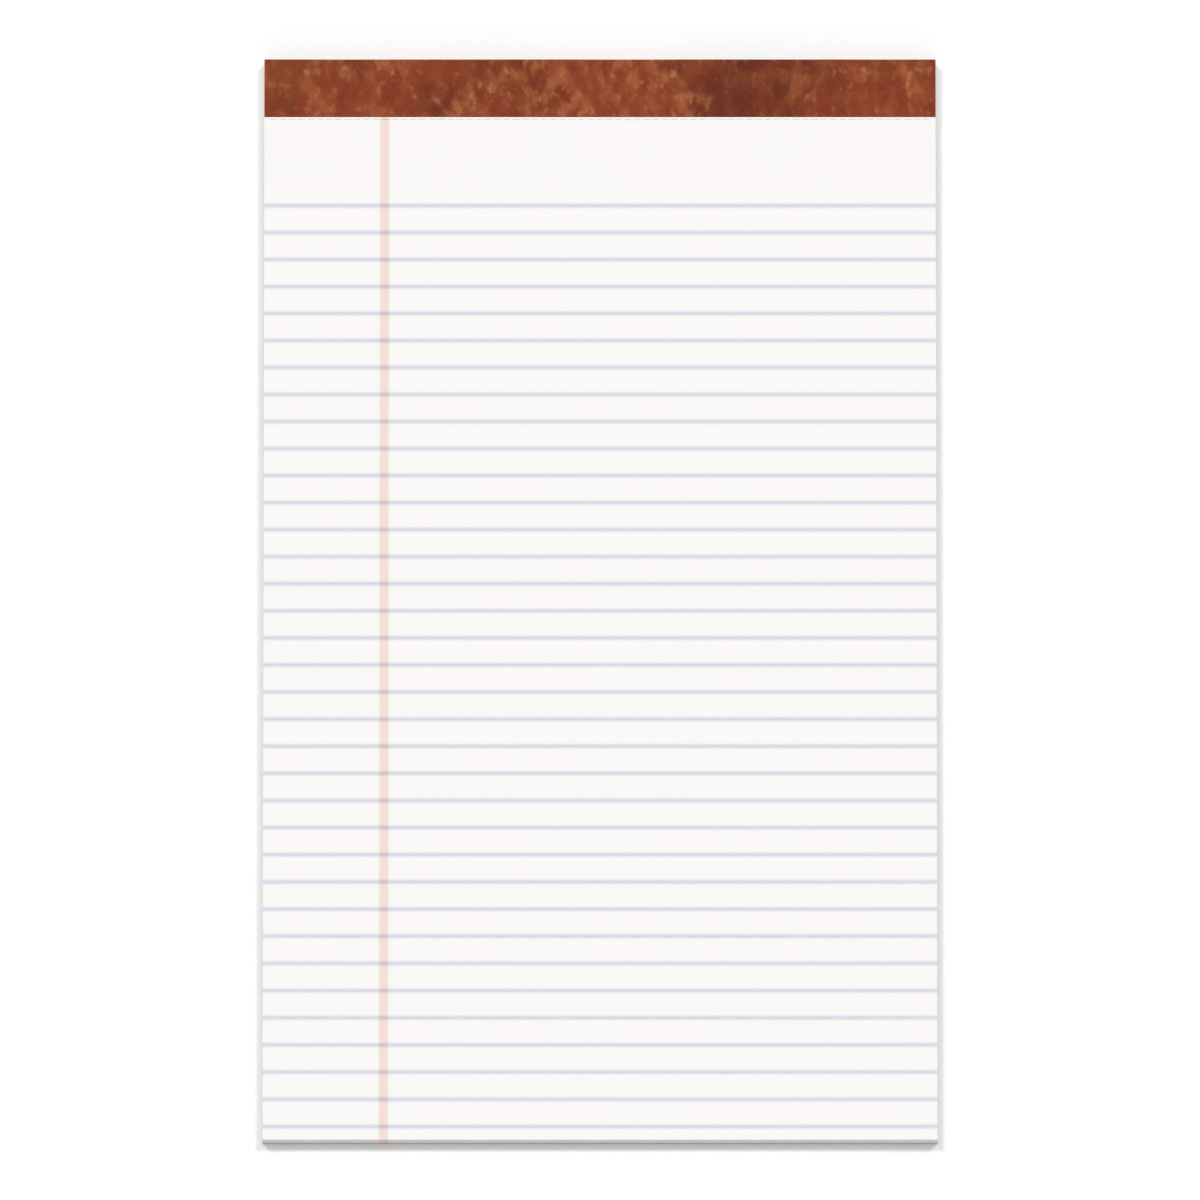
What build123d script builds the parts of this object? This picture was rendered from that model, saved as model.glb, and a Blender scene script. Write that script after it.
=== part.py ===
from build123d import *
import os

# Legal pad lying face up: ruled sheets on a chipboard back, wire stitched near the head
# and bound there by a folded strip of leatherette paper. Lengths are in millimetres.
# X runs across the page, Y up the page to the bound head, Z up out of the front sheet.
# The origin is on the surface that the pad lies on, under the middle of the pad.

# Whole pad, trimmed to legal size with the strip on
PAD_WIDTH = 215.9
PAD_LENGTH = 355.6

# Stack of sheets and its back
SHEET_COUNT = 50
SHEET_CALIPER = 0.105
BOARD_THICKNESS = 0.8

# Binding strip: how far each flap reaches down the pad from its head, and the paper's thickness
STRIP_FRONT = 19.05
STRIP_BACK = 19.05
STRIP_THICKNESS = 0.2

# Tear-off line across the sheets: slits with uncut ties between them
PERFORATION_BELOW_STRIP = 0.9
PERFORATION_CUT = 2.2
PERFORATION_TIE = 0.8
PERFORATION_WIDTH = 0.12

# Stitches of flat wire under the strip, each driven from the front and clinched on the back
STITCH_COUNT = 3
STITCH_SPACING = 75.0
STITCH_BELOW_HEAD = 9.5
STITCH_CROWN = 13.0
STITCH_TIP_GAP = 2.0
WIRE_WIDTH = 0.6
WIRE_THICKNESS = 0.4
WIRE_CLEARANCE = 0.04

# Levels, from the surface up
board_bottom = STRIP_THICKNESS
sheets_bottom = board_bottom + BOARD_THICKNESS
sheets_height = SHEET_COUNT * SHEET_CALIPER
sheets_top = sheets_bottom + sheets_height

# Lines across the pad: the trimmed head and foot of sheets and board, and what lies below the head
pad_head = PAD_LENGTH / 2
trim_head = pad_head - STRIP_THICKNESS
trim_foot = -PAD_LENGTH / 2
trim_length = trim_head - trim_foot
trim_middle = (trim_head + trim_foot) / 2
strip_front_edge = pad_head - STRIP_FRONT
strip_back_edge = pad_head - STRIP_BACK
perforation_line = strip_front_edge - PERFORATION_BELOW_STRIP
stitch_line = trim_head - STITCH_BELOW_HEAD

# As many whole slits as the width holds, with a tie at each end of the row
perforation_pitch = PERFORATION_CUT + PERFORATION_TIE
perforation_slits = int((PAD_WIDTH - PERFORATION_TIE) // perforation_pitch)

# The wire lies in grooves pressed into the top sheets and into the back of the board.
# Its bends are tight enough to go round the square corners between groove and hole.
crown_end = STITCH_CROWN / 2
tip_end = STITCH_TIP_GAP / 2
crown_level = sheets_top - WIRE_CLEARANCE
clinch_level = board_bottom + WIRE_CLEARANCE
outer_bend = WIRE_THICKNESS + 2 * WIRE_CLEARANCE
seat_width = WIRE_WIDTH + 2 * WIRE_CLEARANCE
seat_depth = WIRE_THICKNESS + 2 * WIRE_CLEARANCE
crown_seat_length = STITCH_CROWN + 2 * WIRE_CLEARANCE
clinch_seat_length = crown_end - tip_end + 2 * WIRE_CLEARANCE
clinch_spacing = crown_end + tip_end
leg_spacing = STITCH_CROWN - WIRE_THICKNESS

os.makedirs("parts", exist_ok=True)

# Sheets: one trimmed block with its tear-off line and the seats of the stitches
with BuildPart() as sheet_block:
    with BuildSketch(Plane((0, trim_middle, sheets_bottom))):
        Rectangle(PAD_WIDTH, trim_length)
    extrude(amount=sheets_height)
    with BuildSketch(Plane((0, perforation_line, sheets_top))):
        with GridLocations(perforation_pitch, 0, perforation_slits, 1):
            Rectangle(PERFORATION_CUT, PERFORATION_WIDTH)
    extrude(amount=-sheets_height, mode=Mode.SUBTRACT)
    with BuildSketch(Plane((0, stitch_line, sheets_top))):
        with GridLocations(STITCH_SPACING, 0, STITCH_COUNT, 1):
            Rectangle(crown_seat_length, seat_width)
    extrude(amount=-seat_depth, mode=Mode.SUBTRACT)
    with BuildSketch(Plane((0, stitch_line, sheets_top))):
        with GridLocations(STITCH_SPACING, 0, STITCH_COUNT, 1):
            with GridLocations(leg_spacing, 0, 2, 1):
                Rectangle(seat_depth, seat_width)
    extrude(amount=-sheets_height, mode=Mode.SUBTRACT)

# Board: the stitch holes, and a groove for each clinched leg running in from its hole
with BuildPart() as backing_board:
    with BuildSketch(Plane((0, trim_middle, board_bottom))):
        Rectangle(PAD_WIDTH, trim_length)
    extrude(amount=BOARD_THICKNESS)
    with BuildSketch(Plane((0, stitch_line, board_bottom))):
        with GridLocations(STITCH_SPACING, 0, STITCH_COUNT, 1):
            with GridLocations(clinch_spacing, 0, 2, 1):
                Rectangle(clinch_seat_length, seat_width)
    extrude(amount=seat_depth, mode=Mode.SUBTRACT)
    with BuildSketch(Plane((0, stitch_line, board_bottom))):
        with GridLocations(STITCH_SPACING, 0, STITCH_COUNT, 1):
            with GridLocations(leg_spacing, 0, 2, 1):
                Rectangle(seat_depth, seat_width)
    extrude(amount=BOARD_THICKNESS, mode=Mode.SUBTRACT)

# Strip: its inner face goes down the front, over the square head and down the back, and the
# paper's thickness is added outside that line, so the folds are rounded outside and sharp inside
with BuildPart() as binding_strip:
    with BuildSketch(Plane.YZ):
        with BuildLine():
            Polyline(
                (strip_front_edge, sheets_top),
                (trim_head, sheets_top),
                (trim_head, board_bottom),
                (strip_back_edge, board_bottom),
            )
            offset(amount=STRIP_THICKNESS, kind=Kind.ARC, side=Side.LEFT)
        make_face()
    extrude(amount=PAD_WIDTH / 2, both=True)

# Stitch: flat wire, with its crown on the front and its two legs folded inwards on the back.
# The line is the wire's outer face, and its thickness is added inside.
with BuildPart() as stitch:
    with BuildSketch(Plane.XZ.offset(-stitch_line)):
        with BuildLine():
            FilletPolyline(
                (-tip_end, clinch_level),
                (-crown_end, clinch_level),
                (-crown_end, crown_level),
                (crown_end, crown_level),
                (crown_end, clinch_level),
                (tip_end, clinch_level),
                radius=outer_bend,
            )
            offset(amount=WIRE_THICKNESS, kind=Kind.ARC, side=Side.RIGHT)
        make_face()
    extrude(amount=WIRE_WIDTH / 2, both=True)

with BuildPart() as wire_stitches:
    with GridLocations(STITCH_SPACING, 0, STITCH_COUNT, 1):
        add(stitch.part)

sheet_block.part.label = "sheet_block"
backing_board.part.label = "backing_board"
binding_strip.part.label = "binding_strip"
wire_stitches.part.label = "wire_stitches"

export_step(sheet_block.part, "parts/sheet_block.step")
export_step(backing_board.part, "parts/backing_board.step")
export_step(binding_strip.part, "parts/binding_strip.step")
export_step(wire_stitches.part, "parts/wire_stitches.step")
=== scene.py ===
# %% [markdown]
# A legal pad lies face up on a pale floor. Its solids come packed in one shared frame: a block of
# sheets, a chipboard back, a strip folded over the head, and the wire stitches under that strip.
# This lesson loads them and keeps their sizes. It stands finer surfaces of the same form in for the
# block and the strip, and gives every piece a finish made of nodes. Lengths are in metres, with X
# across the page, Y up the page to the bound head and Z up out of the front sheet.

# %% Load the packed pad
import math

import bpy
import numpy as np
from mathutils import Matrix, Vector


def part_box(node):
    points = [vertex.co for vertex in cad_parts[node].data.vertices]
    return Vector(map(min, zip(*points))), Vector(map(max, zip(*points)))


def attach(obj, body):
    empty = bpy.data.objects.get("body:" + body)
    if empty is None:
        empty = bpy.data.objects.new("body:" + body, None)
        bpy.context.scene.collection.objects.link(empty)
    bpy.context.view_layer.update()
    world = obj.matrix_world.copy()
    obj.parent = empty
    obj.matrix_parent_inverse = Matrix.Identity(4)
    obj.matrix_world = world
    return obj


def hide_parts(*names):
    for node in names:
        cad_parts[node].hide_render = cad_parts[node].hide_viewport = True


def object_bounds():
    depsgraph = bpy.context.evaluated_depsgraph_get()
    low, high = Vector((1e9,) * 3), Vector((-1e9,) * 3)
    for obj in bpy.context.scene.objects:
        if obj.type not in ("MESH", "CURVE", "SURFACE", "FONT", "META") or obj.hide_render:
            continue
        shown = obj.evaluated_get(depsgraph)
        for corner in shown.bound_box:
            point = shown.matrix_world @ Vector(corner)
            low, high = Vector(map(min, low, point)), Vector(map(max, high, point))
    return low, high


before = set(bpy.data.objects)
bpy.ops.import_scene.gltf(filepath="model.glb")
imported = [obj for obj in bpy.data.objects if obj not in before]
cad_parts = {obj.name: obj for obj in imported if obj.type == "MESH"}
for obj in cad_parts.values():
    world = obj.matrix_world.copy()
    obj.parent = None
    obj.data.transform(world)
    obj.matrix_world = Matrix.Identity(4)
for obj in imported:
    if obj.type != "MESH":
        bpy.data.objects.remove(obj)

MM = 0.001
cad_box = [list(corner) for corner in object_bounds()]
print("solids:", sorted(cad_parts))
print("box in mm:", [[round(value / MM, 2) for value in corner] for corner in cad_box])

# %% [markdown]
# Every surface below starts from the solids' own corners, so nothing has to be fitted afterwards.
# The boxes give the levels of the stack and the edges of the strip. What a box can't tell, such as
# the slits of the tear-off line, is written here in millimetres as the solids have it.

# %% Measure the solids
block_low, block_high = (np.array(corner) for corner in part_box("sheet_block"))
strip_low, strip_high = (np.array(corner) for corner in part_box("binding_strip"))
wire_low, wire_high = (np.array(corner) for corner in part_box("wire_stitches"))

SHEET_COUNT = 50
SLIT_LENGTH = 2.2 * MM
SLIT_TIE = 0.8 * MM
SLIT_WIDTH = 0.12 * MM
SLIT_BELOW_STRIP = 0.9 * MM
STITCH_COUNT = 3
STITCH_SPACING = 75 * MM
WIRE_THICKNESS = 0.4 * MM

page_width = block_high[0] - block_low[0]
stack_height = block_high[2] - block_low[2]
sheet_caliper = stack_height / SHEET_COUNT
strip_thickness = strip_high[2] - block_high[2]
wire_width = wire_high[1] - wire_low[1]
wire_clearance = block_high[2] - wire_high[2]
stitch_crown = wire_high[0] - wire_low[0] - (STITCH_COUNT - 1) * STITCH_SPACING
stitch_middles = (np.arange(STITCH_COUNT) - (STITCH_COUNT - 1) / 2) * STITCH_SPACING
stitch_line = (wire_low[1] + wire_high[1]) / 2
slit_line = strip_low[1] - SLIT_BELOW_STRIP
print(f"one sheet is {sheet_caliper / MM:.3f} mm thick, a stitch {stitch_crown / MM:.1f} mm long")

# %% [markdown]
# A piece is a mesh filled from arrays: its corners, its four-sided faces, and for each face the
# finish that it wears and its place on one or more flat maps. Numpy fills all of them at once, which
# is quicker and exact where modelling by hand would be neither. Corners that no face uses are
# dropped, and edges that turn sharply are shaded as edges.

# %% Put arrays into a mesh
BODY = "root"
SHARP_ANGLE = math.radians(30)


def add_piece(name, corners, faces, finish_of_face, maps, stands_for):
    """Makes one piece of the pad, sets it on the pad's body and hides the solid that it stands for.

    corners is (n, 3), faces is (m, 4) rows of corner numbers, and each map is (m, 4, 2), a place for
    every corner of every face.
    """
    used, quads = np.unique(faces, return_inverse=True)
    mesh = bpy.data.meshes.new(name)
    mesh.from_pydata(corners[used], [], quads.reshape(faces.shape))
    mesh.polygons.foreach_set("material_index", finish_of_face.astype(np.int32))
    for map_name, places in maps.items():
        layer = mesh.uv_layers.new(name=map_name, do_init=False)
        layer.uv.foreach_set("vector", places.astype(np.float32).ravel())
    mesh.shade_smooth()
    mesh.set_sharp_from_angle(angle=SHARP_ANGLE)
    piece = bpy.data.objects.new(name, mesh)
    bpy.context.scene.collection.objects.link(piece)
    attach(piece, BODY)
    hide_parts(stands_for)
    print(f"{name}: {len(used)} corners and {len(faces)} quads stand for {stands_for}")
    return piece


# %% [markdown]
# The sheets are trimmed together, so from a step away they are one crisp block, and close up they
# are fifty thin edges. Fifty separate sheets would hide a hundred faces as large as the page. So the
# block is one closed skin: a page on a grid, whose cells are left out where slits, wire holes and
# grooves are, and sides that climb from sheet to sheet. First come the lines of that grid.

# %% Lines of the page's grid
PAGE_ROWS = 40


def spans_about(middles, length):
    """Start and end of a span of one length about each middle, as rows of two."""
    return np.asarray(middles)[:, None] + np.array([-0.5, 0.5]) * length


slit_pitch = SLIT_LENGTH + SLIT_TIE
slit_count = int((page_width - SLIT_TIE) // slit_pitch)
slit_middles = (np.arange(slit_count) - (slit_count - 1) / 2) * slit_pitch
slit_spans = spans_about(slit_middles, SLIT_LENGTH)
slit_row = spans_about([slit_line], SLIT_WIDTH)

seat = 2 * wire_clearance
leg_middles = spans_about(stitch_middles, stitch_crown - WIRE_THICKNESS).ravel()
leg_spans = spans_about(leg_middles, WIRE_THICKNESS + seat)
crown_spans = spans_about(stitch_middles, stitch_crown + seat)
stitch_row = spans_about([stitch_line], wire_width + seat)

sides = [block_low[0], block_high[0]]
free_rows = np.linspace(block_low[1], slit_row[0, 0], PAGE_ROWS)
page_columns = np.unique(np.concatenate([sides, slit_spans, leg_spans, crown_spans], axis=None))
page_rows = np.unique(np.concatenate([free_rows, slit_row, stitch_row, block_high[1:2]], axis=None))
print(f"grid of {len(page_columns)} by {len(page_rows)} lines with {slit_count} slits")

# %% [markdown]
# A cell of that grid is full or empty in each of two layers: the stack, and its top where the crowns
# of the stitches are pressed in. The slits and the holes for the wire's legs go through both. Cutting
# them with Boolean modifiers would leave long thin triangles, while marked cells keep every cut on the
# grid's own lines.

# %% Full and empty cells
def in_spans(lines, spans):
    """True for each cell between neighbouring lines whose middle lies in one of the spans."""
    middles = (lines[1:] + lines[:-1])[:, None] / 2
    return ((middles > spans[:, 0]) & (middles < spans[:, 1])).any(axis=1)


slits = np.outer(in_spans(page_rows, slit_row), in_spans(page_columns, slit_spans))
legs = np.outer(in_spans(page_rows, stitch_row), in_spans(page_columns, leg_spans))
crowns = np.outer(in_spans(page_rows, stitch_row), in_spans(page_columns, crown_spans))
uncut = ~slits & ~legs
full_cells = np.stack([uncut, uncut & ~crowns])
print(f"of {uncut.size} cells, {(~uncut).sum()} are cut right through")

# %% [markdown]
# The page itself isn't quite flat: a pad's free end breathes a little, most at its corners. A cloth
# simulation could bend it, but hardly by a tenth of a millimetre to order. A formula over the whole
# page gives a long ripple and two lifted corners, and leaves the end under the strip flat.

# %% Height of the page
PAGE_RIPPLE = 0.06 * MM
RIPPLE_ACROSS, RIPPLE_DOWN, RIPPLE_START = 4.1, 2.3, 0.7
CORNER_LIFT = 0.22 * MM


def page_lift(x, y):
    """Height of the free page over the flat one: a long ripple that grows with the square of the
    way down from the tear-off line, and corners that rise with the sixth power of it."""
    down = np.clip((slit_line - y) / (slit_line - block_low[1]), 0, 1)
    across = 2 * x / page_width
    ripple = 0.5 + 0.5 * np.sin(RIPPLE_ACROSS * across + RIPPLE_DOWN * down + RIPPLE_START)
    return PAGE_RIPPLE * ripple * down**2 + CORNER_LIFT * down**6 * across**4


page_x, page_y = np.meshgrid(page_columns, page_rows)
crown_floor = block_high[2] - WIRE_THICKNESS - seat
levels = np.array([block_low[2], crown_floor, block_high[2]])[:, None, None] + np.zeros_like(page_x)
levels[-1] += page_lift(page_x, page_y)
print(f"page lifts by up to {(levels[-1].max() - block_high[2]) / MM:.2f} mm")

# %% [markdown]
# The skin of the block is every face between a full cell and an empty one. Listing the walls of each
# cut by hand would take thousands of lines. Comparing each cell with its neighbours finds them all at
# once: those above and below give level faces, those beside and behind give upright ones.

# %% Skin between full and empty cells
def cell_skin(x, y, heights, full):
    """Corners of a grid at each height, their numbers, and the quads between full and empty cells.

    full[k] says which cells are full between heights k and k + 1. A level face lies where the cells
    below and above it differ, an upright one where two neighbours of a layer differ. The upper faces
    of the last layer come apart from the rest, and the outer sides are left open.
    """
    corners = np.stack([np.stack([x, y, z], axis=-1) for z in heights])
    number = np.arange(corners[..., 0].size).reshape(corners.shape[:3])
    empty = np.zeros_like(full[:1])
    layers = np.concatenate([empty, full, empty])
    rest = []
    for at, below, above in zip(number, layers[:-1], layers[1:]):
        quads = np.stack([at[:-1, :-1], at[:-1, 1:], at[1:, 1:], at[1:, :-1]], axis=-1)
        rest += [quads[above & ~below][:, ::-1], quads[below & ~above]]
    page = rest.pop()
    for cells, low, high in zip(full, number[:-1], number[1:]):
        left, right = cells[:, :-1], cells[:, 1:]
        quads = np.stack([low[:-1, 1:-1], low[1:, 1:-1], high[1:, 1:-1], high[:-1, 1:-1]], axis=-1)
        rest += [quads[left & ~right], quads[right & ~left][:, ::-1]]
        front, back = cells[:-1], cells[1:]
        quads = np.stack([low[1:-1, :-1], low[1:-1, 1:], high[1:-1, 1:], high[1:-1, :-1]], axis=-1)
        rest += [quads[back & ~front], quads[front & ~back][:, ::-1]]
    return corners, number, page, np.concatenate(rest)


grid_corners, grid_number, page_faces, hidden_faces = cell_skin(page_x, page_y, levels, full_cells)
print(f"page of {len(page_faces)} faces, {len(hidden_faces)} more in its cuts and under it")

# %% [markdown]
# A guillotine trims the whole stack at once. It still leaves every sheet a hair out of line with the
# next one, and small drifts over many sheets, which is what catches the light on a real stack. A bump
# in the finish would fake the lines but leave the corners of the block ruler-straight. So each sheet
# has its own inset on each side, from seeded random numbers, which are the same in every run.

# %% Play of the trimmed sheets
TRIM_PLAY = 0.035 * MM
TRIM_DRIFT = 0.05 * MM
LEAST_TURNS, MOST_TURNS = 1.5, 3.5
TRIM_SEED = 11


def trim_insets(rng):
    """How far each sheet stays inside the trimmed block at left, right, foot and head: a slow drift
    through the stack plus a little play from sheet to sheet. The front sheet is at full size."""
    climb = np.arange(SHEET_COUNT)[:, None] / SHEET_COUNT
    turns = rng.uniform(LEAST_TURNS, MOST_TURNS, 4)
    starts = rng.uniform(0, 2 * math.pi, 4)
    drift = TRIM_DRIFT * (0.5 + 0.5 * np.sin(2 * math.pi * turns * climb + starts))
    insets = drift + rng.uniform(0, TRIM_PLAY, (SHEET_COUNT, 4))
    insets[-1] = 0
    return insets


sheet_insets = trim_insets(np.random.default_rng(TRIM_SEED))
print(f"sheets lie up to {sheet_insets.max() / MM:.3f} mm inside the trimmed block")

# %% [markdown]
# The sides are a profile carried round the block: a short upright edge for each sheet, and a narrow
# groove between two sheets. An array of thin slabs would give the same lines, but with hidden faces
# between them and open seams at the page. The rings of this profile start at the rim of the grid's
# underside and end at the rim of the page, so the skin closes.

# %% Edges of the sheets
GROOVE_SHARE = 0.12
GROOVE_DEPTH = 0.035 * MM


def rim_of(number):
    """Corner numbers round the outside of a grid: foot, right side, head, left side."""
    return np.concatenate([number[0, :-1], number[:-1, -1], number[-1, :0:-1], number[:0:-1, 0]])


def sheet_rings(low_rim, high_rim, outward, insets):
    """Rings of corners between the lowest and the highest rim, and how far up each ring lies.

    A sheet has a ring near its lower and one near its upper face, at its own inset, and between two
    sheets there is a ring at the deeper inset of both plus the depth of the groove.
    """
    sheet = np.arange(SHEET_COUNT)
    climb = np.concatenate([sheet + GROOVE_SHARE, sheet[1:] - GROOVE_SHARE, sheet[1:]])
    grooves = np.maximum(insets[1:], insets[:-1]) + GROOVE_DEPTH
    order = np.argsort(climb)
    share = climb[order] / SHEET_COUNT
    inset = np.concatenate([insets, insets[:-1], grooves])[order]
    rings = low_rim + share[:, None, None] * (high_rim - low_rim)
    for axis, (minus, plus) in enumerate([(0, 1), (2, 3)]):
        side = np.where(outward[:, axis] < 0, inset[:, [minus]], inset[:, [plus]])
        rings[..., axis] -= outward[:, axis] * side
    return rings, np.concatenate([[0], share, [1]])


low_numbers, high_numbers = rim_of(grid_number[0]), rim_of(grid_number[-1])
flat_corners = grid_corners.reshape(-1, 3)
low_rim, high_rim = flat_corners[low_numbers], flat_corners[high_numbers]
rim_xy = low_rim[:, :2]
outward = np.isclose(rim_xy, block_high[:2]).astype(int) - np.isclose(rim_xy, block_low[:2])
rings, ring_share = sheet_rings(low_rim, high_rim, outward, sheet_insets)
ring_numbers = len(flat_corners) + np.arange(rings[..., 0].size).reshape(rings.shape[:2])
here = np.concatenate([low_numbers[None], ring_numbers, high_numbers[None]])
beside = np.roll(here, -1, axis=1)
edge_faces = np.stack([here[:-1], beside[:-1], beside[1:], here[1:]], axis=-1).reshape(-1, 4)
sheet_corners = np.concatenate([flat_corners, rings.reshape(-1, 3)])
print(f"edges of {len(rings)} rings round {len(low_numbers)} corners")

# %% [markdown]
# When the pad leaves Blender, its finishes are baked to pictures through a flat map. Left to itself,
# Blender would lay out thousands of tiny edge faces and leave the page a corner of the picture. So
# the page is cut in two halves that stand side by side, above three low rows for the sides.

# %% Lay the page out flat
BAKE_MAP = "OFBake"
PICTURE = 1024
GAP = 3 / PICTURE
SIDE_ROW = 20 / PICTURE
SIDE_ROWS = 3
rows_end = SIDE_ROWS * SIDE_ROW


def fit(share, start, end):
    """A share from 0 to 1, moved to run from start to end."""
    return start + share * (end - start)


def page_map(places):
    """Page faces (m, 4, 3) on the map: the half at the foot on the left and the half at the head on
    the right, both above the rows of the sides."""
    split = page_rows[len(page_rows) // 2]
    at_head = places[..., 1].mean(axis=1, keepdims=True) > split
    start = np.where(at_head, 0.5, 0) + GAP
    low = np.where(at_head, split, block_low[1])
    high = np.where(at_head, block_high[1], split)
    across = fit((places[..., 0] - block_low[0]) / page_width, start, start + 0.5 - 2 * GAP)
    up = fit((places[..., 1] - low) / (high - low), rows_end + GAP, 1 - GAP)
    return np.stack([across, up], axis=-1)


page_places = page_map(sheet_corners[page_faces])
print(f"page takes the map from {page_places[..., 1].min():.3f} to {page_places[..., 1].max():.3f}")

# %% [markdown]
# The four sides of the stack are long and low, so each lies along a row, the foot and the head in the
# same one. What nobody sees, such as the walls of the slits, shares one small square, before the start
# of the left side's row. With these maps the sheets are put together as one piece.

# %% Lay the edges out flat
HIDDEN_SIDE = 8 / PICTURE
ROW_OF_SIDE = np.array([0, 1, 0, 2])
START_OF_SIDE = np.array([0, 0, 0.5, HIDDEN_SIDE + GAP])
END_OF_SIDE = np.array([0.5, 1, 1, 1])
UNIT_SQUARE = np.array([[0, 0], [1, 0], [1, 1], [0, 1]])
RULED, EDGE = 0, 1


def edge_map():
    """Edge faces on the map, with the sides in the order foot, right, head, left: a side runs along
    its row, whose height is that of the stack."""
    steps = [len(page_columns) - 1, len(page_rows) - 1] * 2
    side = np.repeat([0, 1, 2, 3], steps)
    row_start = ROW_OF_SIDE[side] * SIDE_ROW + GAP
    start = START_OF_SIDE[side] + GAP
    end = END_OF_SIDE[side] - GAP
    share = (rim_xy - block_low[:2]) / (block_high[:2] - block_low[:2])
    along = [np.where(side % 2, at[:, 1], at[:, 0]) for at in (share, np.roll(share, -1, axis=0))]
    u, u_beside = (fit(at, start, end) for at in along)
    v = fit(ring_share[:, None], row_start, row_start + SIDE_ROW - 2 * GAP)
    across = np.broadcast_to(np.stack([u, u_beside, u_beside, u], axis=-1), (*v[1:].shape, 4))
    up = np.stack([v[:-1], v[:-1], v[1:], v[1:]], axis=-1)
    return np.stack([across, up], axis=-1).reshape(-1, 4, 2)


hidden_square = UNIT_SQUARE * HIDDEN_SIDE + [GAP, rows_end - HIDDEN_SIDE - GAP]
hidden_places = np.broadcast_to(hidden_square, (len(hidden_faces), 4, 2))
ruled_sheets = add_piece(
    "ruled_sheets",
    sheet_corners,
    np.concatenate([page_faces, edge_faces, hidden_faces]),
    np.repeat([RULED, EDGE, EDGE], [len(page_faces), len(edge_faces), len(hidden_faces)]),
    {BAKE_MAP: np.concatenate([page_places, edge_map(), hidden_places])},
    "sheet_block",
)

# %% [markdown]
# The strip is paper with a printed leather look, glued down the front, over the head and down the
# back. A bent plane with a Solidify modifier could give it, but not its tight folds. Here it is a
# profile in Y and Z: a line of points with the direction that faces out at each, which turns through
# a right angle at each fold.

# %% Profile of the folded strip
FOLD_INSIDE = 0.05 * MM
FLAP_STEP = 0.36 * MM
FOLD_POINTS = 7


def straight(start, end, facing):
    """Evenly spaced points of a flat stretch from start to end, all facing one way."""
    count = int(np.linalg.norm(np.subtract(end, start)) / FLAP_STEP) + 2
    return np.linspace(start, end, count), np.tile(facing, (count, 1))


def fold(middle, first_angle):
    """Points of a quarter turn clockwise from an angle, about the middle of the fold, without its two
    ends, which belong to the flat stretches."""
    angles = first_angle - np.linspace(0, math.pi / 2, FOLD_POINTS + 2)[1:-1]
    facing = np.stack([np.cos(angles), np.sin(angles)], axis=-1)
    return np.asarray(middle) + FOLD_INSIDE * facing, facing


flap_edge, inner_head = strip_low[1], strip_high[1] - strip_thickness
inner_top, inner_bottom = block_high[2], strip_low[2] + strip_thickness
fold_y = inner_head - FOLD_INSIDE
top_z, bottom_z = inner_top - FOLD_INSIDE, inner_bottom + FOLD_INSIDE
stretches = [
    straight((flap_edge, inner_top), (fold_y, inner_top), (0, 1)),
    fold((fold_y, top_z), math.pi / 2),
    straight((inner_head, top_z), (inner_head, bottom_z), (1, 0)),
    fold((fold_y, bottom_z), 0),
    straight((fold_y, inner_bottom), (flap_edge, inner_bottom), (0, -1)),
]
inner_line = np.concatenate([points for points, _ in stretches])
facing = np.concatenate([direction for _, direction in stretches])
outer_line = inner_line + strip_thickness * facing
outer_steps = np.linalg.norm(np.diff(outer_line, axis=0), axis=1)
outer_run = np.concatenate([[0], np.cumsum(outer_steps)])
print(f"strip of {len(inner_line)} points, {outer_run[-1] / MM:.1f} mm from flap to flap")

# %% [markdown]
# Glued paper isn't quite smooth. The glue lies a little unevenly under it, and the crowns of the
# stitches show through as faint ridges. They could be sculpted, but not exactly over the wire. So two
# formulas say how far the paper stands out: a bell over each crown, and two crossed waves.

# %% Swells of the strip
WIRE_RIDGE = 0.05 * MM
RIDGE_REACH = 0.5 * MM
RIDGE_END = 0.35 * RIDGE_REACH
GLUE_WAVE = 0.012 * MM
RISING_WAVE = 7.3 * MM, 5.1 * MM
FALLING_WAVE = 11.9 * MM, 8.3 * MM


def wire_ridges(x, y):
    """How far the paper stands out over the crowns: a bell across each stitch, as long as its crown,
    with soft ends."""
    from_middle = np.abs(x[..., None] - stitch_middles).min(axis=-1)
    lengthwise = 1 / (1 + np.exp((from_middle - stitch_crown / 2) / RIDGE_END))
    return WIRE_RIDGE * lengthwise * np.exp(-(((y - stitch_line) / RIDGE_REACH) ** 2))


def glue_waves(x, run):
    """Low swells where the glue lies unevenly: the sum of two crossed waves. A wave's two lengths are
    those across the pad and along the paper in which it turns by one radian."""
    rising = np.sin(x / RISING_WAVE[0] + run / RISING_WAVE[1])
    falling = np.sin(x / FALLING_WAVE[0] - run / FALLING_WAVE[1])
    return GLUE_WAVE * (rising + falling)


print(f"ridges of {WIRE_RIDGE / MM:.3f} mm, two waves of {GLUE_WAVE / MM:.3f} mm each")

# %% [markdown]
# The profile is carried along X, once as it is for the inside of the paper, and once pulled out along
# its directions for the outside, by the paper's thickness and its swells. A curve with a profile could
# be swept as well, but not with swells. The flap on the back is pressed flat by what the pad lies on,
# and the two cut edges are held down.

# %% Carry the profile across the pad
STRIP_STATIONS = 201
HELD_EDGE = 1.0 * MM

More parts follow.
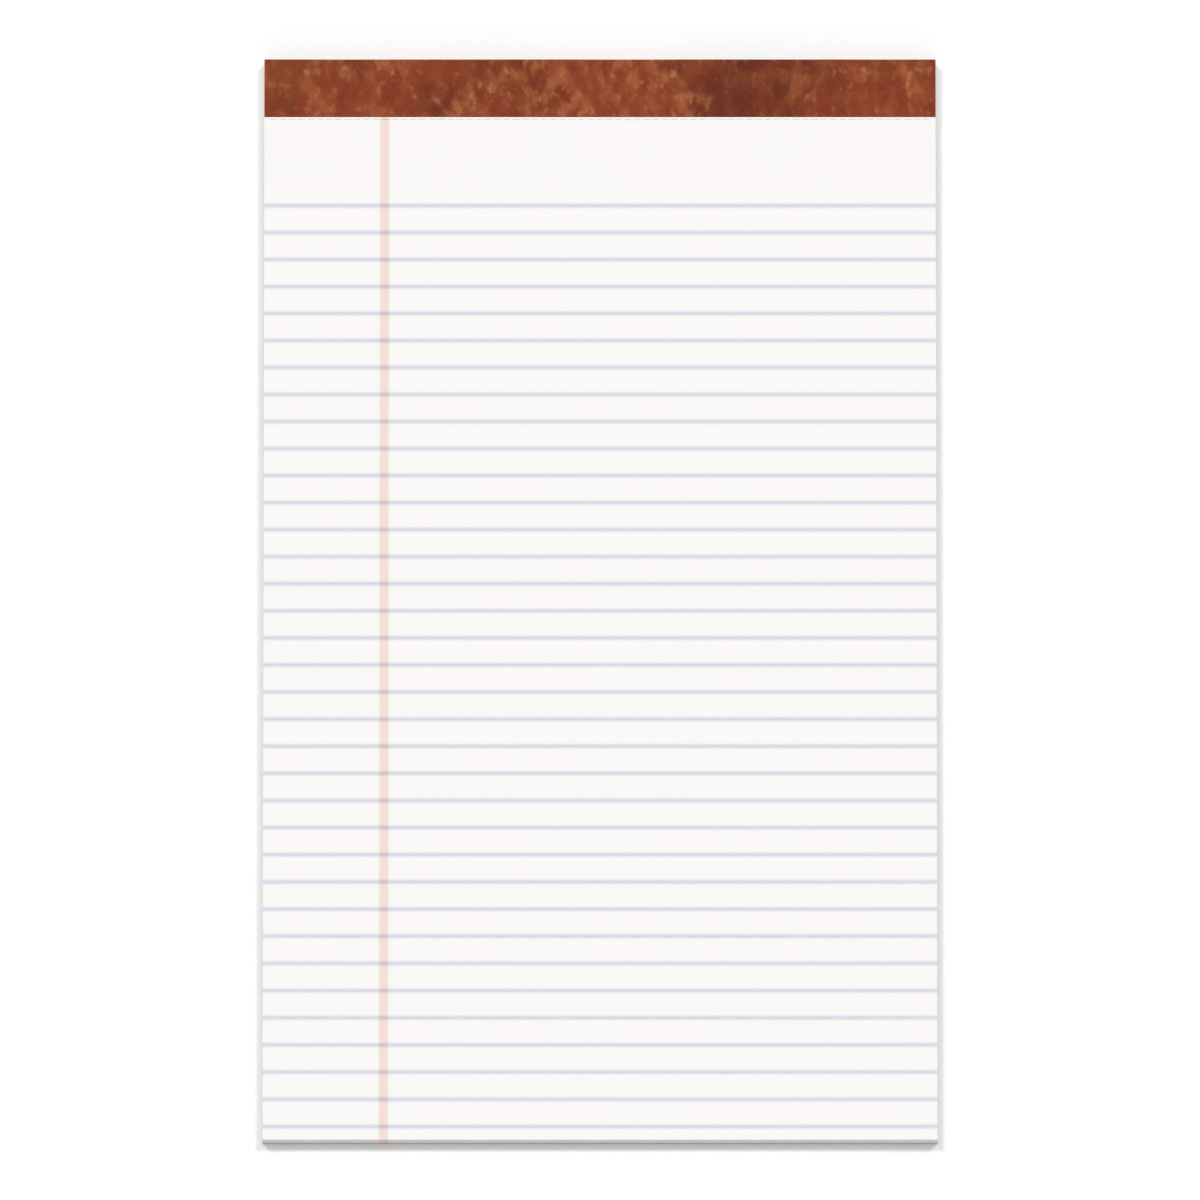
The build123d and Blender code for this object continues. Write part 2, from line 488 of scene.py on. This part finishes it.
station = np.linspace(strip_low[0], strip_high[0], STRIP_STATIONS)[:, None]
held = np.clip(np.minimum(outer_run, outer_run[-1] - outer_run) / HELD_EDGE, 0, 1)
free = held * np.clip(1 + facing[:, 1], 0, 1)
proud = free * (wire_ridges(station, outer_line[:, 0]) + glue_waves(station, outer_run))
outer = outer_line + proud[..., None] * facing
inner = np.broadcast_to(inner_line[::-1], outer.shape)
loops = np.concatenate([outer, inner], axis=1)
strip_x = np.broadcast_to(station, loops.shape[:2])
strip_corners = np.concatenate([strip_x[..., None], loops], axis=-1).reshape(-1, 3)
print(f"strip of {loops.shape[0]} stations by {loops.shape[1]} points")

# %% [markdown]
# The faces run round the loops, with a cap at each end. Bridging the loops by hand would give the same
# faces, but in no known order. Here the corners are numbered as a table, station by point, so the first
# faces of each round are known to be outside. Those carry the print, and the rest shows the core.

# %% Faces of the strip
points = len(inner_line)
number = np.arange(loops[..., 0].size).reshape(loops.shape[:2])
beside = np.roll(number, -1, axis=1)
around_faces = np.stack([number[:-1], number[1:], beside[1:], beside[:-1]], axis=-1)
ends = number[[0, -1]]
outside, inside = ends[:, :points], ends[:, ::-1][:, :points]
caps = np.stack([outside[:, :-1], outside[:, 1:], inside[:, 1:], inside[:, :-1]], axis=-1)
strip_faces = np.concatenate([around_faces.reshape(-1, 4), caps[0], caps[1][:, ::-1]])
printed = np.zeros(len(strip_faces), bool)
printed[: around_faces[..., 0].size] = np.tile(np.arange(2 * points) < points - 1, STRIP_STATIONS - 1)
print(f"strip of {len(strip_faces)} faces, {printed.sum()} of them printed")

# %% [markdown]
# The strip gets two flat maps. One unrolls it in real metres, across the pad and along the paper, so
# that the print can run on round the folds. The other is for baking: the strip is long and thin, so
# its two halves are stacked to fill the square, and the core shares a small square below them. An
# automatic unwrap would cut the strip anywhere and lose its measure.

# %% Flat maps of the strip
UNROLLED = "unrolled"
CORE_SIDE = 0.03
HALVES = 2
PRINTED, CORE = 0, 1

run_around = np.concatenate([outer_run, outer_run[::-1]])
flat_x, flat_run = np.broadcast_arrays(station, run_around)
unrolled = np.stack([flat_x, flat_run], axis=-1).reshape(-1, 2)[strip_faces]

share = (unrolled - [strip_low[0], 0]) / [page_width / HALVES, outer_run[-1]]
half = np.floor(share[..., 0].mean(axis=1, keepdims=True))
core_row = CORE_SIDE + 2 * GAP
half_height = (1 - core_row) / HALVES
across = fit(share[..., 0] - half, 2 * GAP, 1 - 2 * GAP)
up = core_row + half * half_height + fit(share[..., 1], 2 * GAP, half_height - 2 * GAP)
core_square = UNIT_SQUARE * CORE_SIDE + GAP
strip_map = np.where(printed[:, None, None], np.stack([across, up], axis=-1), core_square)
leatherette_strip = add_piece(
    "leatherette_strip",
    strip_corners,
    strip_faces,
    np.where(printed, PRINTED, CORE),
    {BAKE_MAP: strip_map, UNROLLED: unrolled},
    "binding_strip",
)

# %% [markdown]
# A finish is a formula over the surface. Wiring it up in the node editor hides the formula in a web of
# links. Here a small class holds a shader socket and lets it be added and multiplied like a number,
# while the nodes are made behind the scenes. Its one method for all other nodes takes a node's type,
# its settings and its sockets.

# %% Shader sockets as numbers
class Shade:
    """One shader socket that takes part in sums, so that a pattern reads as a formula."""

    def __init__(self, tree, socket=None):
        self.tree = tree
        self.socket = socket

    def node(self, kind, settings=None, sockets=None, output=0):
        """Adds a node of a type, gives it its settings, then sets or links its sockets."""
        made = self.tree.nodes.new(kind)
        for name, value in (settings or {}).items():
            setattr(made, name, value)
        for name, value in (sockets or {}).items():
            if isinstance(value, Shade):
                self.tree.links.new(value.socket, made.inputs[name])
            else:
                made.inputs[name].default_value = value
        return Shade(self.tree, made.outputs[output])

    def maths(self, operation, *values):
        """The result of one operation on sockets or numbers."""
        return self.node("ShaderNodeMath", {"operation": operation}, dict(enumerate(values)))

    def __add__(self, other):
        return self.maths("ADD", self, other)

    __radd__ = __add__

    def __sub__(self, other):
        return self.maths("SUBTRACT", self, other)

    def __rsub__(self, other):
        return self.maths("SUBTRACT", other, self)

    def __mul__(self, other):
        return self.maths("MULTIPLY", self, other)

    __rmul__ = __mul__

    def __abs__(self):
        return self.maths("ABSOLUTE", self)

    def clipped(self, low=0.0, high=1.0):
        """The value itself, but never under low or over high."""
        return self.node("ShaderNodeClamp", None, {"Value": self, "Min": low, "Max": high})

    def eased(self, low, high):
        """0 up to low, 1 from high on, with a smooth step between them."""
        return self.node(
            "ShaderNodeMapRange",
            {"interpolation_type": "SMOOTHSTEP"},
            {"Value": self, "From Min": low, "From Max": high},
        )

    def over(self, colour, under, blend="MIX"):
        """Lays a colour over another one, as densely as this socket says."""
        settings = {"data_type": "RGBA", "blend_type": blend}
        return self.node("ShaderNodeMix", settings, {0: self, 6: under, 7: colour}, 2)


print("sockets take part in sums:", [name for name in vars(Shade) if name.startswith("__r")])

# %% [markdown]
# Every finish is one material with one Principled shader. Some of its sockets keep one value all over
# the piece, and the others wear a pattern. Colours are written as they are picked on screen, and since
# a screen's numbers aren't amounts of light, a formula turns them into light. Doing that by eye in the
# colour picker would be slower and different each time.

# %% Colours and shaders
MID_GREY = 128


def paint(red, green, blue):
    """A colour picked on screen, from 0 to 255 in each channel, as the light it stands for."""
    screen = np.array([red, green, blue]) / 255
    light = np.where(screen <= 0.04045, screen / 12.92, ((screen + 0.055) / 1.055) ** 2.4)
    return (*light.tolist(), 1.0)


def new_finish(name, constants):
    """A material with one Principled shader, whose sockets that don't vary are set here."""
    finish = bpy.data.materials.new(name)
    finish.use_nodes = True
    shader = finish.node_tree.nodes["Principled BSDF"]
    for socket, value in constants.items():
        shader.inputs[socket].default_value = value
    return finish, shader, Shade(finish.node_tree)


def wear(shader, patterns):
    """Links a pattern to each named socket of the shader."""
    for socket, pattern in patterns.items():
        pattern.tree.links.new(pattern.socket, shader.inputs[socket])


print(f"grey {MID_GREY} on screen is {paint(MID_GREY, MID_GREY, MID_GREY)[0]:.3f} of full light")

# %% [markdown]
# Patterns are made from cloudy noise of a size in millimetres, and from heights that tip the surface.
# A picture laid on each face would break at the corners. Noise reads the point's place in the pad's
# frame instead, so it is solid: it runs through corners as the real stuff does.

# %% Places, noise and bumps
def pad_place(shade):
    """The point's place in the pad's frame."""
    return shade.node("ShaderNodeTexCoord", None, None, "Object")


def axes(place):
    """X, Y and Z of a place, as three sockets."""
    return [place.node("ShaderNodeSeparateXYZ", None, {0: place}, axis) for axis in range(3)]


def noise(place, size, detail=2.0, roughness=0.5, distortion=0.0, output="Fac"):
    """Cloudy noise from 0 to 1, whose largest swells are about so many metres across."""
    sockets = {
        "Vector": place,
        "Scale": 1 / size,
        "Detail": detail,
        "Roughness": roughness,
        "Distortion": distortion,
    }
    return place.node("ShaderNodeTexNoise", None, sockets, output)


def bumped(height, strength, depth):
    """The surface tipped by a height from 0 to 1 that stands for a depth in metres."""
    sockets = {"Strength": strength, "Distance": depth, "Height": height}
    return height.node("ShaderNodeBump", None, sockets)


print(f"noise with swells of 1 mm has a scale of {1 / MM:.0f} to the metre")

# %% [markdown]
# The print is a row of pale blue rules from edge to edge and a double salmon margin line. A picture
# of it would be an image to carry along and would blur close up. Instead each is a distance: to the
# nearest of the evenly spaced rules along Y, and to the nearer of the two margin lines along X. A
# smooth step turns that distance into ink.

# %% Ink of the printed lines
RULE_COUNT = 35
RULE_PITCH = 8.91 * MM
FIRST_RULE_BELOW_HEAD = 48.4 * MM
RULE_WIDTH = 1.25 * MM
MARGIN_FROM_LEFT = 38.7 * MM
MARGIN_SPACING = 1.65 * MM
MARGIN_WIDTH = 1.15 * MM
MARGIN_BLEED = 0.92
INK_SPREAD = 0.7 * MM

first_rule = strip_high[1] - FIRST_RULE_BELOW_HEAD
margin_middle = block_low[0] + MARGIN_FROM_LEFT


def inked(distance, width):
    """1 within half a line's width, 0 outside it, with the ink's soft spread between."""
    return 1 - distance.eased(width / 2 - INK_SPREAD, width / 2 + INK_SPREAD)


def rule_ink(y):
    """The ink of the nearest rule: the way down in pitches, less that way rounded and kept to the
    rules there are."""
    down = (first_rule - y) * (1 / RULE_PITCH)
    nearest = down.maths("ROUND", down).clipped(0, RULE_COUNT - 1)
    return inked(abs(down - nearest) * RULE_PITCH, RULE_WIDTH)


def margin_ink(x):
    """The ink of the margin: two lines, each at half their spacing from the middle, and the weaker
    ink that has bled between them."""
    from_middle = abs(x - margin_middle)
    lines = inked(abs(from_middle - MARGIN_SPACING / 2), MARGIN_WIDTH)
    bleed = inked(from_middle, MARGIN_SPACING) * MARGIN_BLEED
    return lines.maths("MAXIMUM", lines, bleed)


print(f"{RULE_COUNT} rules, the first at Y = {first_rule / MM:.1f} mm")
print(f"margin at X = {margin_middle / MM:.1f} mm")

# %% [markdown]
# Writing paper is uncoated, so it is dull, with a fine tooth, and never one even white. A flat colour
# would look like plastic. So two near whites are mixed by wide clouds, a fine noise tips the surface,
# and the ink over it lies more or less densely, as it leaves the press.

# %% Ruled paper
PAPER_WHITE = paint(251, 248, 247)
PAPER_COOL = paint(249, 248, 247)
RULE_INK = paint(216, 220, 236)
MARGIN_INK = paint(243, 218, 206)
PAPER_CLOUD = 22 * MM
INK_PATCH = 1.1 * MM
TOOTH_SIZE = 0.38 * MM
TOOTH_DEPTH = 0.02 * MM


def ruled_paper():
    """Two whites mixed by clouds, the margin's ink laid over them and the rules' ink multiplied on."""
    finish, shader, shade = new_finish("ruled_paper", {"Specular IOR Level": 0.2})
    place = pad_place(shade)
    x, y, _ = axes(place)
    tooth = noise(place, TOOTH_SIZE, roughness=0.6)
    density = (0.82 + 0.36 * noise(place, INK_PATCH)).clipped()
    colour = (noise(place, PAPER_CLOUD, detail=3) * 0.5).over(PAPER_COOL, PAPER_WHITE)
    colour = (margin_ink(x) * density).over(MARGIN_INK, colour)
    colour = (rule_ink(y) * density).over(RULE_INK, colour, "MULTIPLY")
    wear(
        shader,
        {
            "Base Color": colour,
            "Roughness": 0.78 + 0.14 * tooth,
            "Normal": bumped(tooth, 0.12, TOOTH_DEPTH),
        },
    )
    return finish


ruled_sheets.data.materials.append(ruled_paper())
print("page wears", ruled_sheets.data.materials[RULED].name)

# %% [markdown]
# Where a printed line meets the trimmed edge, every sheet shows a speck of its ink, so the rules and
# the margin go on down the sides of the block as broken ticks. They could be painted on, but the same
# two formulas already give them. Each sheet has its own number, from its height, and white noise turns
# that number into its own tone, its own slip out of register and its own strength of ink. The edge
# colour is also darkened towards a grey that is painted shade on the sides of the block. How much
# varies with each sheet's own tone and with fibres.

# %% Trimmed edges
EDGE_PALE = paint(250, 247, 246)
# The darker edge colour is painted shade on the sides of the stack; the pale one is the paper itself
EDGE_PAINTED_SHADE = paint(228, 224, 223)
REGISTER_SLIP = 0.6 * MM
EDGE_FIBRE = 0.67 * MM
FIBRE_DEPTH = 0.02 * MM


def sheet_edges():
    """Pale paper and a darker grey that is painted shade on the edges, mixed by each sheet's own tone
    and by fibres, with the ticks of the ink multiplied on."""
    finish, shader, shade = new_finish("sheet_edges", {"Specular IOR Level": 0.15})
    place = pad_place(shade)
    x, y, z = axes(place)
    height = (z - block_low[2]) * (1 / sheet_caliper)
    own = height.node(
        "ShaderNodeTexWhiteNoise",
        {"noise_dimensions": "1D"},
        {"W": height.maths("FLOOR", height)},
    )
    slip = (own - 0.5) * REGISTER_SLIP
    strength = 0.4 + 0.4 * own
    fibres = noise(place, EDGE_FIBRE, roughness=0.6)
    # Painted shade on the edges, more on some sheets than on others by their own tone and by fibres
    colour = (own * 0.6 + fibres * 0.5).clipped().over(EDGE_PAINTED_SHADE, EDGE_PALE)
    colour = (rule_ink(y + slip) * strength).over(RULE_INK, colour, "MULTIPLY")
    colour = (margin_ink(x + slip) * strength).over(MARGIN_INK, colour, "MULTIPLY")
    wear(
        shader,
        {
            "Base Color": colour,
            "Roughness": 0.85 + 0.1 * fibres,
            "Normal": bumped(fibres, 0.2, FIBRE_DEPTH),
        },
    )
    return finish


ruled_sheets.data.materials.append(sheet_edges())
print("sheets wear", [finish.name for finish in ruled_sheets.data.materials])

# %% [markdown]
# Leatherette is paper pressed between rollers, with a grain like that of hide: small cells whose walls
# wander. A Voronoi pattern alone has straight walls, like cracked mud. So each place is first pushed
# about by noise, and the pattern is read at the pushed place.

# %% Pressed grain
PORE_SIZE = 0.67 * MM
PORE_WANDER = 0.6 * MM
WANDER_SIZE = 0.9 * MM


def pressed_cells(place):
    """Distance to the walls of irregular cells, whose places are first pushed about by noise."""
    push = noise(place, WANDER_SIZE, output="Color")
    push = push.node("ShaderNodeVectorMath", {"operation": "SCALE"}, {0: push, "Scale": PORE_WANDER})
    pushed = place.node("ShaderNodeVectorMath", {"operation": "ADD"}, {0: place, 1: push})
    sockets = {"Vector": pushed, "Scale": 1 / PORE_SIZE}
    return place.node("ShaderNodeTexVoronoi", {"feature": "DISTANCE_TO_EDGE"}, sockets)


print(f"grain of cells {PORE_SIZE / MM:.2f} mm wide, pushed by up to {PORE_WANDER / MM:.2f} mm")

# %% [markdown]
# The print imitates old leather: reddish brown with darker clouds, tan mottling, pale flecks and fine
# creases. A scan of hide would be a picture with its own grain. Here each is noise at its own scale,
# laid over the last one by how dense it is. The mottling and the flecks are drawn out along the paper,
# as on a hide pulled over a roller. On this pad the strip is most tan near its middle and darkest to
# the right of that, which two wide slopes across it add to the noise.

# %% Mottled print
BROWN = paint(139, 62, 24)
RED_BROWN = paint(131, 51, 21)
DARK_BROWN = paint(88, 30, 8)
TAN = paint(180, 105, 62)
PALE_TAN = paint(202, 132, 88)
RED_CLOUD = 13.3 * MM
DARK_CLOUD = 22 * MM
TAN_CLOUD = 19.2 * MM
MOTTLE_SIZE = 5.0 * MM
FLECK_SIZE = 2.8 * MM
CREASE_SIZE = 10.5 * MM
DARK_MIDDLE, DARK_REACH = 45 * MM, 32 * MM
TAN_MIDDLE, TAN_REACH = 9 * MM, 34 * MM
DRAWN_OUT = (1.0, 0.65, 1.0)


def slope(along, middle, reach):
    """1 at the middle, falling evenly to 0 on both sides of it."""
    return (1 - abs(along - middle) * (1 / reach)).clipped()


def mottled_print(place):
    """Two browns mixed by clouds, then dark clouds, tan mottling, pale flecks and creases over them,
    the last three the more densely the more tan a place is."""
    drawn = place.node("ShaderNodeVectorMath", {"operation": "MULTIPLY"}, {0: place, 1: DRAWN_OUT})
    along = axes(place)[0]
    dark_slope = slope(along, DARK_MIDDLE, DARK_REACH)
    tan_slope = slope(along, TAN_MIDDLE, TAN_REACH)
    red = noise(place, RED_CLOUD, detail=4, roughness=0.6, distortion=0.2)
    dark = noise(place, DARK_CLOUD, detail=4, roughness=0.6, distortion=0.2)
    dark = dark + dark_slope * 0.27 - tan_slope * 0.12
    tan = noise(place, TAN_CLOUD, detail=3, roughness=0.6)
    tan = (tan + tan_slope * 0.18 - dark_slope * 0.1).eased(0.42, 0.68)
    mottle = noise(drawn, MOTTLE_SIZE, detail=3).eased(0.42, 0.68)
    flecks = noise(drawn, FLECK_SIZE, roughness=0.45).eased(0.53, 0.76)
    crease = abs(noise(place, CREASE_SIZE, detail=4, roughness=0.55, distortion=0.35) - 0.5)

    colour = red.eased(0.4, 0.66).over(RED_BROWN, BROWN)
    colour = (dark.eased(0.49, 0.73) * 0.82).over(DARK_BROWN, colour)
    colour = (mottle * (0.15 + 0.65 * tan)).over(TAN, colour)
    colour = (flecks * (0.2 + 0.45 * tan)).over(PALE_TAN, colour)
    return ((1 - crease.eased(0, 0.045)) * tan * 0.1).over(PALE_TAN, colour)


print(f"strip is darkest at X = {DARK_MIDDLE / MM:.0f} mm and most tan at X = {TAN_MIDDLE / MM:.0f} mm")

# %% [markdown]
# The press leaves fine grain and dark pores on the print, and a satin gloss that changes with the
# grain. All of it reads the unrolled map, so it runs on round the folds. A projection from above would
# smear down the head. The same cells and grain that darken the print also dent the surface.

# %% Leatherette
GRAIN_BROWN = paint(94, 40, 20)
PORE_BROWN = paint(84, 36, 20)
GRAIN_SIZE = 0.7 * MM
GRAIN_DEPTH = 0.07 * MM


def leatherette():
    """The mottled print with grain and pores laid over it, whose height is mostly that of the cells
    and partly that of the grain."""
    finish, shader, shade = new_finish("leatherette", {"Specular IOR Level": 0.12})
    place = shade.node("ShaderNodeUVMap", {"uv_map": UNROLLED})
    grain = noise(place, GRAIN_SIZE, detail=3, roughness=0.6)
    cells = pressed_cells(place)
    colour = (grain.eased(0.4, 0.75) * 0.25).over(GRAIN_BROWN, mottled_print(place))
    colour = ((1 - cells.eased(0, 0.2)) * 0.26).over(PORE_BROWN, colour)
    pressed = cells.eased(0, 0.3) * 0.6 + grain * 0.4
    wear(
        shader,
        {
            "Base Color": colour,
            "Roughness": 0.45 + 0.25 * grain,
            "Normal": bumped(pressed, 0.8, GRAIN_DEPTH),
        },
    )
    return finish


leatherette_strip.data.materials.append(leatherette())
print("print runs round the strip on its map", UNROLLED)

# %% [markdown]
# The print is only as deep as the paper's face. Its cut edges and its glued side show the core: brown
# paper, soaked unevenly with dye, fibrous and dull. The print's own finish would do at a distance, but
# would make the paper look like solid leather at its edges.

# %% Core of the strip
CORE_PALE = paint(176, 132, 104)
CORE_DYED = paint(120, 72, 50)
CORE_FIBRE = 0.45 * MM


def strip_core():
    """Pale and dyed paper mixed by the same fibres that roughen and tip the surface."""
    finish, shader, shade = new_finish("strip_core", {"Specular IOR Level": 0.2})
    fibres = noise(pad_place(shade), CORE_FIBRE, detail=3, roughness=0.6)
    wear(
        shader,
        {
            "Base Color": fibres.over(CORE_DYED, CORE_PALE),
            "Roughness": 0.8 + 0.15 * fibres,
            "Normal": bumped(fibres, 0.2, FIBRE_DEPTH),
        },
    )
    return finish


leatherette_strip.data.materials.append(strip_core())
print("strip wears", [finish.name for finish in leatherette_strip.data.materials])

# %% [markdown]
# The back is chipboard, pulped from mixed waste paper: a warm grey with darker fibres, dark and pale
# specks and a dull, slightly pitted face. Its solid already has the right shape, so it is kept, and
# only its finish changes. Specks could be scattered as tiny pieces, but the peaks and the hollows of
# one fine noise are enough for both kinds.

# %% Chipboard
BOARD_GREY = paint(150, 140, 128)
BOARD_PALE = paint(163, 152, 139)
FIBRE_GREY = paint(118, 108, 98)
DARK_SPECK = paint(88, 80, 76)
PALE_SPECK = paint(192, 184, 172)
BOARD_CLOUD = 14 * MM
BOARD_FIBRE = 0.42 * MM
SPECK_SIZE = 0.19 * MM
PIT_DEPTH = 0.03 * MM


def chipboard():
    """Two greys mixed by clouds, with fibres, dark specks and pale specks laid over them in turn."""
    finish, shader, shade = new_finish("chipboard", {"Specular IOR Level": 0.15})
    place = pad_place(shade)
    fibres = noise(place, BOARD_FIBRE, detail=5, roughness=0.7, distortion=0.6)
    speck = noise(place, SPECK_SIZE, detail=1)
    colour = noise(place, BOARD_CLOUD, detail=4).eased(0.3, 0.7).over(BOARD_PALE, BOARD_GREY)
    colour = (fibres.eased(0.48, 0.72) * 0.45).over(FIBRE_GREY, colour)
    colour = (speck.eased(0.66, 0.74) * 0.6).over(DARK_SPECK, colour)
    colour = ((1 - speck.eased(0.25, 0.32)) * 0.5).over(PALE_SPECK, colour)
    wear(
        shader,
        {
            "Base Color": colour,
            "Roughness": 0.8 + 0.15 * fibres,
            "Normal": bumped(fibres, 0.3, PIT_DEPTH),
        },
    )
    return finish


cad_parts["backing_board"].material_slots[0].material = chipboard()
print("board wears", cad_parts["backing_board"].material_slots[0].material.name)

# %% [markdown]
# The stitches are flat galvanised wire, under the strip and in their grooves. They are seen only when
# the strip is taken off, so their solid is kept too. Drawing the wire leaves a satin face with fine
# marks in it. Plain metal would shine like a mirror, so noise changes its gloss, and its colour less.

# %% Stitching wire
WIRE_BRIGHT = paint(205, 206, 208)
WIRE_DULL = paint(150, 152, 154)
MARK_SIZE = 0.33 * MM
MARK_DEPTH = 0.01 * MM


def stitching_wire():
    """Bright and dull metal mixed by the same marks that roughen and tip the surface."""
    finish, shader, shade = new_finish("stitching_wire", {"Metallic": 1.0})
    marks = noise(pad_place(shade), MARK_SIZE, detail=3)
    wear(
        shader,
        {
            "Base Color": marks.over(WIRE_DULL, WIRE_BRIGHT),
            "Roughness": 0.25 + 0.2 * marks,
            "Normal": bumped(marks, 0.1, MARK_DEPTH),
        },
    )
    return finish


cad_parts["wire_stitches"].material_slots[0].material = stitching_wire()
print("wire wears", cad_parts["wire_stitches"].material_slots[0].material.name)

# %% [markdown]
# The floor is a plain sheet that reads as white where the light falls on it in full, and keeps the
# pad's soft shadow. More light would also whiten it, but would wash out the page. So part of its
# brightness is a glow for rays from the camera, from gloss and through glass, which lights nothing.

# %% Floor
FLOOR_SIZE = 6.0
FLOOR_REFLECTS = 0.86
FLOOR_GLOW = 0.17


def seen_directly(shade):
    """1 for a ray from the camera, off a glossy surface or through a clear one, 0 for other light."""
    kinds = ("Camera", "Glossy", "Transmission")
    rays = [shade.node("ShaderNodeLightPath", None, None, f"Is {kind} Ray") for kind in kinds]
    return (rays[0] + rays[1] + rays[2]).clipped()


def pale_floor():
    """A dull pale sheet, and a glow added to it for the rays that see it directly."""
    finish = bpy.data.materials.new("pale_floor")
    finish.use_nodes = True
    tree = finish.node_tree
    tree.nodes.remove(tree.nodes["Principled BSDF"])
    shade = Shade(tree)
    sheet = shade.node("ShaderNodeBsdfDiffuse", None, {"Color": (FLOOR_REFLECTS,) * 3 + (1,)})
    glow = shade.node("ShaderNodeEmission", None, {"Strength": seen_directly(shade) * FLOOR_GLOW})
    both = shade.node("ShaderNodeAddShader", None, {0: sheet, 1: glow})
    tree.links.new(both.socket, tree.nodes["Material Output"].inputs["Surface"])
    return finish


floor_mesh = bpy.data.meshes.new("floor")
floor_corners = np.array([[-1, -1, 0], [1, -1, 0], [1, 1, 0], [-1, 1, 0]]) * FLOOR_SIZE / 2
floor_mesh.from_pydata(floor_corners, [], [[0, 1, 2, 3]])
floor_mesh.materials.append(pale_floor())
floor_sheet = bpy.data.objects.new("floor", floor_mesh)
bpy.context.scene.collection.objects.link(floor_sheet)
print("floor", FLOOR_SIZE, "m wide")

# %% [markdown]
# Flat things are lit as on a copy stand: a broad lamp high on the left and another on the right, both
# a little behind the head, so that a soft shadow lies along the sides and the foot. Lamps near the pad
# would light one end of it more than the other. Two suns light it evenly, and their breadth softens
# the shadows.

# %% Lamps
LEFT_SHARE, LEFT_TOWARDS = 0.38, np.array([-0.34, 0.38, 1.0])
RIGHT_SHARE, RIGHT_TOWARDS = 0.33, np.array([0.34, 0.38, 1.0])
LAMP_BREADTH = math.radians(15)


def add_lamp(name, share, towards):
    """A lamp far away in a direction, which gives a level surface its share of the light: its energy
    is that share times pi, over the cosine of its angle from straight overhead."""
    level = 1 / np.linalg.norm(towards)
    lamp = bpy.data.lights.new(name, "SUN")
    lamp.energy = share * math.pi / level
    lamp.angle = LAMP_BREADTH
    holder = bpy.data.objects.new(name, lamp)
    turn = math.atan2(towards[1], towards[0]) + math.pi / 2
    holder.rotation_euler = (math.acos(level), 0, turn)
    bpy.context.scene.collection.objects.link(holder)
    print(f"{name} at {lamp.energy:.2f} W/m2")


add_lamp("left_lamp", LEFT_SHARE, LEFT_TOWARDS)
add_lamp("right_lamp", RIGHT_SHARE, RIGHT_TOWARDS)

# %% [markdown]
# The rest is a bright room: paler at the horizon than overhead, and paler still in front of the foot,
# which lifts the edges of the stack. Walls could be built and lit, but a formula over the direction of
# a ray gives the same light. With the lamps it lights a level surface at strength 1, where a colour
# renders as it is written. A ray that sees the room directly finds it white.

# %% Room
ROOM_OVERHEAD = 0.04
ROOM_HORIZON = 0.79
ROOM_FILL = 0.3

world = bpy.data.worlds.new("room")
bpy.context.scene.world = world
world.use_nodes = True
room = Shade(world.node_tree)
outlook = room.node("ShaderNodeTexCoord", None, None, "Generated")
_, headward, upward = axes(outlook)
walls = ROOM_HORIZON + abs(upward) * (ROOM_OVERHEAD - ROOM_HORIZON)
walls = walls - headward * ROOM_FILL
# High up behind the head the sum falls below zero, which is black
walls = walls.maths("MAXIMUM", walls, 0)
seen = seen_directly(room)
strength = walls * (1 - seen) + seen
background = world.node_tree.nodes["Background"]
background.inputs["Color"].default_value = (1, 1, 1, 1)
world.node_tree.links.new(strength.socket, background.inputs["Strength"])
print(f"room from {ROOM_HORIZON} at the horizon to {ROOM_OVERHEAD} overhead")

# %% [markdown]
# The photograph looks almost straight at the page, with parallel sides and no narrowing towards the
# head, and shows a narrow band of the stack's foot. A camera without perspective could do that, but a
# very long lens, far away and tipped a few degrees towards the foot, is what a photographer would use.

# %% Camera
LENS_MM = 1200
SENSOR_MM = 36
VIEW_WIDTH = 385 * MM
TIPPED = math.radians(13)
FARTHEST_SEEN = 100

camera = bpy.data.cameras.new("camera")
camera.lens = LENS_MM
camera.sensor_width = SENSOR_MM
camera.clip_end = FARTHEST_SEEN
viewpoint = bpy.data.objects.new("camera", camera)
distance = VIEW_WIDTH * LENS_MM / SENSOR_MM
pad_middle = np.mean(cad_box, axis=0)
viewpoint.location = pad_middle + distance * np.array([0, -math.sin(TIPPED), math.cos(TIPPED)])
viewpoint.rotation_euler = (TIPPED, 0, 0)
bpy.context.scene.collection.objects.link(viewpoint)
bpy.context.scene.camera = viewpoint
bpy.context.scene.view_settings.view_transform = "Standard"
print(f"camera {distance:.2f} m away, tipped {math.degrees(TIPPED):.0f} degrees")

# %% [markdown]
